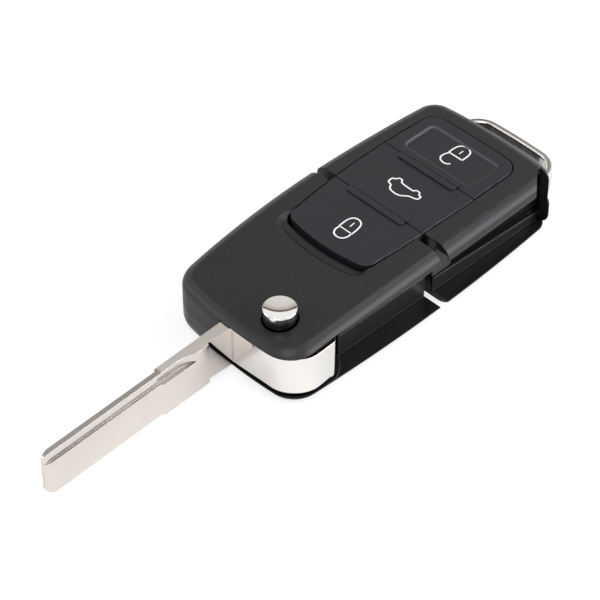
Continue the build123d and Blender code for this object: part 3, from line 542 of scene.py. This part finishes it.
def softened_copy(node_name, width):
    """The frame's mesh of a part, its facets merged and its sharp edges broken."""
    bm = merged_copy(node_name)
    for corner in bm.verts:
        if NECK_START < corner.co.x < NECK_END and corner.co.y > NECK_SIDE:
            corner.co.y -= NECK_TAPER       # the neck thins towards the shoulder
    bmesh.ops.dissolve_limit(
        bm, angle_limit=math.radians(0.5), verts=bm.verts, edges=bm.edges
    )
    sharp = [
        edge for edge in bm.edges
        if len(edge.link_faces) == 2 and edge.calc_face_angle(0) > math.radians(28)
    ]
    rounded = bmesh.ops.bevel(
        bm, geom=sharp, offset=width, offset_type="OFFSET", segments=2, profile=0.5,
        affect="EDGES", clamp_overlap=True, material=-1,
    )
    strips = set(rounded["faces"])
    for edge in bm.edges:
        if len({face in strips for face in edge.link_faces}) == 2:
            edge.smooth = False
    return bm


LEDGE_TOP = 10.6 * MM
STRIP_START = 23.9 * MM
SHOULDER, MARK_REACH = 12.55 * MM, 0.13 * MM
NECK_ROUGH = 0.04
POLISH_END, LINES_START = 12.4 * MM, 13.0 * MM      # X, past the neck
blade_steel, tree, shader = new_material("blade_nickel")
shader.inputs["Metallic"].default_value = 1.0
spot = add_node(tree, "TexCoord")
waves = add_node(tree, "Group", node_tree=plating_group)
drawn = add_node(tree, "Mapping", {"Scale": (0.06, 1, 1)})
lines = add_node(tree, "TexNoise", {"Scale": 2600.0, "Detail": 4.0, "Roughness": 0.6})
nicks = add_node(tree, "TexNoise", {"Scale": 700.0, "Detail": 6.0, "Roughness": 0.7})
tree.links.new(spot.outputs["Object"], waves.inputs["Place"])
tree.links.new(spot.outputs["Object"], drawn.inputs["Vector"])
tree.links.new(drawn.outputs[0], lines.inputs["Vector"])
tree.links.new(spot.outputs["Object"], nicks.inputs["Vector"])
dull = in_range(tree, nicks.outputs["Fac"], 0.0, 0.5, 0.52, 0.75)
warm = add_node(
    tree, "Mix", {"Factor": 1.0, 7: (0.83, 0.805, 0.78, 1)},
    data_type="RGBA", blend_type="MULTIPLY",
)
tree.links.new(waves.outputs["Tint"], warm.inputs[6])
nickel = mix_colours(tree, dull, warm.outputs[2], (0.7, 0.65, 0.61))
# Painted light and shade: faces that look up are painted bright near the neck and darker
# beyond, the milled ledge darker still, and a dark line is painted at the shoulder as the
# shade of its step
place = split_axes(tree, spot.outputs["Object"])
facing = split_axes(tree, spot.outputs["Normal"])
upward = calculate(tree, "GREATER_THAN", facing["Z"], 0.7)
outward = calculate(tree, "GREATER_THAN", facing["Y"], 0.3)
on_strip = calculate(tree, "GREATER_THAN", place["X"], STRIP_START)
on_ledge = calculate(tree, "LESS_THAN", place["Z"], LEDGE_TOP)
at_shoulder = calculate(tree, "COMPARE", place["X"], SHOULDER, MARK_REACH)
for mask, colour in (
    (upward, (0.97, 0.94, 0.905)),
    (calculate(tree, "MULTIPLY", upward, on_strip), (0.56, 0.53, 0.51)),
    (calculate(tree, "MULTIPLY", upward, on_ledge), (0.27, 0.25, 0.24)),
    (calculate(tree, "MULTIPLY", at_shoulder, outward), (0.3, 0.27, 0.25)),
):
    nickel = mix_colours(tree, mask, nickel, colour)
tree.links.new(nickel, shader.inputs["Base Color"])
rough_lines = in_range(tree, lines.outputs["Fac"], 0.12, 0.26, 0.3, 0.7)
past_neck = in_range(tree, place["X"], 0.0, 1.0, POLISH_END, LINES_START)
blade_rough = add_node(tree, "Mix", {2: NECK_ROUGH}, data_type="FLOAT")
tree.links.new(past_neck, blade_rough.inputs["Factor"])
tree.links.new(rough_lines, blade_rough.inputs[3])
tree.links.new(blade_rough.outputs[0], shader.inputs["Roughness"])
line_relief = add_node(tree, "Bump", {"Strength": 0.12, "Distance": 0.01 * MM})
wave_relief = add_node(tree, "Bump", {"Strength": 0.35, "Distance": 0.06 * MM})
tree.links.new(lines.outputs["Fac"], line_relief.inputs["Height"])
tree.links.new(waves.outputs["Wave"], wave_relief.inputs["Height"])
tree.links.new(line_relief.outputs["Normal"], wave_relief.inputs["Normal"])
tree.links.new(wave_relief.outputs["Normal"], shader.inputs["Normal"])
BROKEN_EDGE = 0.15 * MM
blade = new_piece(
    "blade_softened", softened_copy("key_blade", BROKEN_EDGE), blade_steel, "flip",
    smooth=50,
)
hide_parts("key_blade")

# Blade pin: a dowel of hardened steel, ground to size and driven through the head and
# the blade's tang.
fixing_steel, tree, shader = new_material("fixing_steel")
shader.inputs["Metallic"].default_value = 1.0
spot = add_node(tree, "TexCoord")
mottle = add_node(tree, "TexNoise", {"Scale": 1500.0, "Detail": 5.0, "Roughness": 0.7})
tree.links.new(spot.outputs["Object"], mottle.inputs["Vector"])
steel_tint = mix_colours(tree, mottle.outputs["Fac"], (0.5, 0.49, 0.47), (0.66, 0.65, 0.63))
tree.links.new(steel_tint, shader.inputs["Base Color"])
tree.links.new(in_range(tree, mottle.outputs["Fac"], 0.2, 0.42), shader.inputs["Roughness"])
finish_node("blade_pin", fixing_steel)


# Flip spring: round spring wire, coiled, its end turns closed. It throws the head round
# and pushes the button up.
def skin_rows(bm, rows, closed=False):
    """Faces between rows of points, each row a ring, with a cap at each open end."""
    pairs = list(zip(rows, rows[1:]))
    if closed:
        pairs.append((rows[-1], rows[0]))
    for one, two in pairs:
        count = len(one)
        for k in range(count):
            bm.faces.new((one[k], one[(k + 1) % count], two[(k + 1) % count], two[k]))
    if not closed:
        bm.faces.new(rows[0])
        bm.faces.new(rows[-1])


low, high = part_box("flip_spring")
WIRE_RADIUS = 0.42 * MM
WIRE_SIDES = 10
WIRE_TURNS = 5.0
TURN_STEPS = 40
CLOSED_TURN = 0.75          # of a turn, closed up at each end
coil_radius = (high.x - low.x) / 2 - WIRE_RADIUS
coil_height = high.z - low.z - 2 * WIRE_RADIUS
closed_pitch = 2.04 * WIRE_RADIUS
open_pitch = (coil_height - 2 * CLOSED_TURN * closed_pitch) / (WIRE_TURNS - 2 * CLOSED_TURN)
bm = bmesh.new()
rows = []
for step in range(int(WIRE_TURNS * TURN_STEPS) + 1):
    turn = step / TURN_STEPS
    z = min(turn, CLOSED_TURN) * closed_pitch
    z += max(0, min(turn, WIRE_TURNS - CLOSED_TURN) - CLOSED_TURN) * open_pitch
    z += max(0, turn - WIRE_TURNS + CLOSED_TURN) * closed_pitch
    angle = 2 * math.pi * turn
    outward = Vector((math.cos(angle), math.sin(angle), 0))
    middle = outward * coil_radius + Vector((0, 0, low.z + WIRE_RADIUS + z))
    rows.append([
        bm.verts.new(
            middle
            + outward * WIRE_RADIUS * math.cos(2 * math.pi * k / WIRE_SIDES)
            + Vector((0, 0, WIRE_RADIUS * math.sin(2 * math.pi * k / WIRE_SIDES)))
        )
        for k in range(WIRE_SIDES)
    ])
skin_rows(bm, rows)
spring = new_piece("spring_wire", bm, fixing_steel, "flip")
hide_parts("flip_spring")
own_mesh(spring)

# Release button: turned brass with a dished top, polished and plated. It slides in the
# head, on top of the spring.
# Its side is painted darker towards the foot, a painted dark reflection
button_chrome = bright_plating(
    "button_chrome", 0.05, 0.05, edge_radius=0.06, foot=(14.6, 15.9)
)
finish_node("release_button", button_chrome)

# Upper shell of the flip half: the same nylon with the satin grain all over, pressed
# onto the lower shell and held by the screw.
COVER_DARK, COVER_LIGHT = (0.0085, 0.0085, 0.009), (0.0135, 0.0135, 0.0145)
SATIN_ROUGH = 0.37
finish_node("front_cover", black_plastic(
    "shell_cover_plastic", COVER_DARK, COVER_LIGHT, SATIN_ROUGH
))


# Screw: zinc-plated steel with a cross recess and a rolled thread. It is driven in from
# below, through the lower shell into the post of the cover.
def revolve(profile, centre, steps=48):
    """A closed body of revolution about an upright axis, from (radius, height) points."""
    bm = bmesh.new()
    line = [bm.verts.new(centre + Vector((radius, 0, z))) for radius, z in profile]
    edges = [bm.edges.new(pair) for pair in zip(line, line[1:])]
    bmesh.ops.spin(
        bm, geom=line + edges, cent=centre, axis=(0, 0, 1), angle=2 * math.pi, steps=steps,
        use_merge=True, use_duplicate=False,
    )
    bmesh.ops.remove_doubles(bm, verts=bm.verts, dist=SAME_POINT)
    return bm


low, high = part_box("front_screw")
screw_at = Vector(((low.x + high.x) / 2, (low.y + high.y) / 2, 0))
head_radius = (high.x - low.x) / 2
SHANK = 1.0 * MM
HEAD_TOP = 1.2 * MM
face_z = low.z + 0.02 * MM
bm = revolve(
    [
        (1.22 * MM, face_z),
        (head_radius - 0.35 * MM, face_z),
        (head_radius - 0.1 * MM, low.z + 0.12 * MM),
        (head_radius, low.z + 0.35 * MM),
        (head_radius, low.z + HEAD_TOP),
        (SHANK * 0.8, low.z + HEAD_TOP),
        (SHANK * 0.8, high.z - 0.3 * MM),
        (SHANK * 0.5, high.z),
        (0, high.z),
    ],
    screw_at,
)
rim = [edge for edge in bm.edges if len(edge.link_faces) == 1]
ARM, HALF = 0.95 * MM, 0.22 * MM    # length and half width of an arm of the cross
cross = []
for quarter in range(4):
    turn = Matrix.Rotation(quarter * math.pi / 2 + 0.3, 3, "Z")
    for x, y in ((ARM, -HALF), (ARM, HALF), (HALF, HALF)):
        cross.append(bm.verts.new(screw_at + turn @ Vector((x, y, face_z))))
mouth = [bm.edges.new((cross[k - 1], cross[k])) for k in range(12)]
bmesh.ops.triangle_fill(bm, edges=rim + mouth, use_beauty=True, normal=(0, 0, -1))
deep = [
    bm.verts.new(
        screw_at + (corner.co - screw_at) * 0.55 + Vector((0, 0, 0.45 * low.z + 0.75 * MM))
    )
    for corner in cross
]
for k in range(12):
    bm.faces.new((cross[k - 1], cross[k], deep[k], deep[k - 1]))
bm.faces.new(deep)
PITCH = 0.75 * MM
PITCH_STEPS = 24
thread_start, thread_end = low.z + 1.9 * MM, high.z - 0.5 * MM
rows = []
for step in range(int((thread_end - thread_start) / PITCH * PITCH_STEPS) + 1):
    angle = 2 * math.pi * step / PITCH_STEPS
    outward = Vector((math.cos(angle), math.sin(angle), 0))
    z = thread_start + PITCH * step / PITCH_STEPS
    rows.append([
        bm.verts.new(screw_at + outward * radius + Vector((0, 0, z + rise)))
        for radius, rise in (
            (SHANK * 0.75, -0.2 * MM),
            (SHANK * 0.99, -0.04 * MM),
            (SHANK * 0.99, 0.04 * MM),
            (SHANK * 0.75, 0.2 * MM),
        )
    ])
skin_rows(bm, rows)
screw = new_piece("screw_cross_head", bm, fixing_steel, "housing")
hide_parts("front_screw")

# Keypad frame: a shallow tray moulded in the same hard plastic as the pivot plug. It
# stands on the posts of the lower shell and carries the mat.
finish_node("keypad_frame", inner_plastic)

# Keypad mat: dark silicone, moulded in one piece with a dome under each button. It is
# laid in the tray.
silicone, tree, shader = new_material("dark_silicone")
shader.inputs["Subsurface Weight"].default_value = 0.15
shader.inputs["Subsurface Scale"].default_value = 0.5 * MM
spot = add_node(tree, "TexCoord")
cloud = add_node(tree, "TexNoise", {"Scale": 300.0, "Detail": 4.0})
bloom = add_node(tree, "TexNoise", {"Scale": 2500.0, "Detail": 3.0})
tree.links.new(spot.outputs["Object"], cloud.inputs["Vector"])
tree.links.new(spot.outputs["Object"], bloom.inputs["Vector"])
rubber = mix_colours(tree, cloud.outputs["Fac"], (0.03, 0.03, 0.032), (0.045, 0.045, 0.047))
tree.links.new(rubber, shader.inputs["Base Color"])
tree.links.new(in_range(tree, bloom.outputs["Fac"], 0.5, 0.75), shader.inputs["Roughness"])
finish_node("keypad_mat", silicone)


# Lock, boot and unlock buttons: soft-touch moulded caps with a shade of violet in the
# black, each on its dome. The function signs are printed on in white ink.
pad_black = black_plastic(
    "button_plastic", (0.0095, 0.0095, 0.0115), (0.015, 0.0145, 0.0185), SATIN_ROUGH,
    edge=(0.028, 0.028, 0.032), depth=0.6,
)
for name in ("lock_button", "boot_button"):
    finish_node(name, pad_black)

# The two slopes of the finger dish that face the slot and the blade are painted pale, a
# painted highlight where light falls on them
DISH_X, DISH_HALF_X = -55.45 * MM, 4.9 * MM
DISH_Y, DISH_HALF_Y = -8.65 * MM, 9.3 * MM
dish_lit_plastic = pad_black.copy()
dish_lit_plastic.name = "dish_lit_button_plastic"
tree = dish_lit_plastic.node_tree
shader = tree.nodes["Principled BSDF"]
spot = add_node(tree, "TexCoord")
place = split_axes(tree, spot.outputs["Object"])
facing = split_axes(tree, spot.outputs["Normal"])
steeper = calculate(tree, "MAXIMUM", facing["X"], facing["Y"])
in_dish = calculate(
    tree, "MULTIPLY",
    calculate(tree, "COMPARE", place["X"], DISH_X, DISH_HALF_X),
    calculate(tree, "COMPARE", place["Y"], DISH_Y, DISH_HALF_Y),
)
painted_lit = calculate(
    tree, "MULTIPLY", in_dish, calculate(tree, "GREATER_THAN", steeper, 0.35)
)
plain = shader.inputs["Base Color"].links[0].from_socket
pale_black = mix_colours(tree, painted_lit, plain, (0.06, 0.06, 0.068))
tree.links.new(pale_black, shader.inputs["Base Color"])
finish_node("unlock_button", dish_lit_plastic)

ink, tree, shader = new_material("white_ink")
spot = add_node(tree, "TexCoord")
cover_noise = add_node(tree, "TexNoise", {"Scale": 2200.0, "Detail": 4.0})
tree.links.new(spot.outputs["Object"], cover_noise.inputs["Vector"])
ink_white = mix_colours(
    tree, cover_noise.outputs["Fac"], (0.8, 0.8, 0.82), (0.95, 0.95, 0.96)
)
ink_rough = in_range(tree, cover_noise.outputs["Fac"], 0.4, 0.6)
tree.links.new(ink_white, shader.inputs["Base Color"])
tree.links.new(ink_rough, shader.inputs["Roughness"])


def smooth_line(points, closed, steps=8):
    """Points along a smooth curve through the given ones."""
    count = len(points)
    spans = count if closed else count - 1
    line = []
    for k in range(spans):
        if closed:
            a, b, c, d = (points[(k + j) % count] for j in (-1, 0, 1, 2))
        else:
            a, b, c, d = (points[min(max(k + j, 0), count - 1)] for j in (-1, 0, 1, 2))
        for j in range(steps):
            t = j / steps
            line.append(0.5 * (
                2 * b + (c - a) * t + (2 * a - 5 * b + 4 * c - d) * t * t
                + (3 * b - a - 3 * c + d) * t ** 3
            ))
    if not closed:
        line.append(points[-1])
    return line


INK_SUNK, INK_PROUD = 0.01, 0.012       # mm below and above the printed face


def ink_stroke(bm, points, z, closed=False, width=0.33):
    """A flat printed line of even width, in mm, lying on the height z in metres."""
    line = smooth_line([Vector(point) * MM for point in points], closed)
    count = len(line)
    rows = []
    for k, here in enumerate(line):
        before = line[(k - 1) % count] if closed or k else here
        after = line[(k + 1) % count] if closed or k < count - 1 else here
        along = (after - before).normalized()
        side = Vector((-along.y, along.x)) * width / 2 * MM
        rows.append([
            bm.verts.new((here.x + s * side.x, here.y + s * side.y, z + rise * MM))
            for s, rise in (
                (-1, -INK_SUNK), (1, -INK_SUNK), (1, INK_PROUD), (-1, INK_PROUD)
            )
        ])
    skin_rows(bm, rows, closed)


BAR_RISE = 0.3 * MM         # of the raised bars, over the face of a button
DISH_DEPTH = 0.3 * MM
pad_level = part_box("boot_button")[1].z - BAR_RISE
dish_level = pad_level - DISH_DEPTH

bm = bmesh.new()
ink_stroke(
    bm,
    [(-24.95, -9.45), (-26.9, -9.6), (-28.2, -9.35), (-28.85, -8.55), (-28.8, -7.5),
     (-28.2, -6.75), (-26.9, -6.3), (-24.95, -6.1)],
    pad_level,
)
ink_stroke(bm, [(-25.05, -9.35), (-25.05, -6.15)], pad_level, width=0.25)
ink_stroke(
    bm,
    [(-25.05, -9.3), (-24.0, -9.35), (-23.1, -8.95), (-22.6, -8.2), (-22.6, -7.2),
     (-23.1, -6.45), (-24.0, -6.15), (-25.05, -6.2)],
    pad_level,
)
ink_stroke(bm, [(-26.3, -7.85), (-27.7, -8.0)], pad_level, width=0.24)
new_piece("icon_lock", bm, ink, "lock")

bm = bmesh.new()
ink_stroke(
    bm,
    [(-42.2, -12.0), (-41.1, -11.9), (-40.65, -10.9), (-39.85, -10.35), (-39.45, -9.4),
     (-39.55, -7.6), (-40.65, -6.1), (-40.95, -5.0), (-41.2, -4.35), (-42.1, -4.25),
     (-42.35, -4.9), (-42.9, -5.3), (-42.95, -6.15), (-42.45, -6.55), (-42.4, -7.1),
     (-42.55, -9.6), (-43.2, -10.25), (-43.25, -11.0), (-42.6, -11.4)],
    pad_level,
    closed=True,
)
new_piece("icon_boot", bm, ink, "boot")

bm = bmesh.new()
ink_stroke(
    bm,
    [(-56.05, -9.9), (-57.8, -9.95), (-58.9, -9.6), (-59.55, -8.8), (-59.55, -7.7),
     (-58.9, -6.75), (-57.8, -6.4), (-56.05, -6.35)],
    dish_level,
)
ink_stroke(bm, [(-56.1, -9.8), (-56.1, -6.4)], dish_level)
ink_stroke(
    bm,
    [(-56.0, -9.75), (-55.1, -10.1), (-54.1, -10.15), (-53.35, -9.6), (-53.05, -8.7),
     (-53.2, -7.8), (-53.75, -7.3)],
    dish_level,
)
ink_stroke(bm, [(-57.1, -8.1), (-58.3, -8.1)], dish_level, width=0.24)
new_piece("icon_unlock", bm, ink, "unlock")

# Upper shell of the remote half: the satin nylon of the other cover, moulded round the keypad
# and pressed onto its base. Its slot wall is painted black as shade, with a painted pale
# patch of light at the joint.
JOINT_X = -40.1
finish_node("rear_cover", black_plastic(
    "rear_cover_plastic", COVER_DARK, COVER_LIGHT, SATIN_ROUGH,
    slot_wall=SLOT_WALL_Y, lit_patch_from=JOINT_X,
))

# Ring bow: brass strip, formed to an arc, polished and plated. Its two legs are pinned
# in the remote half.
bow_chrome = bright_plating("bow_chrome", 0.09, 0.2)
finish_node("ring_bow", bow_chrome)

# Ring pins: two dowels of the same steel as the blade pin, driven through the legs of
# the bow.
finish_node("ring_pins", fixing_steel)
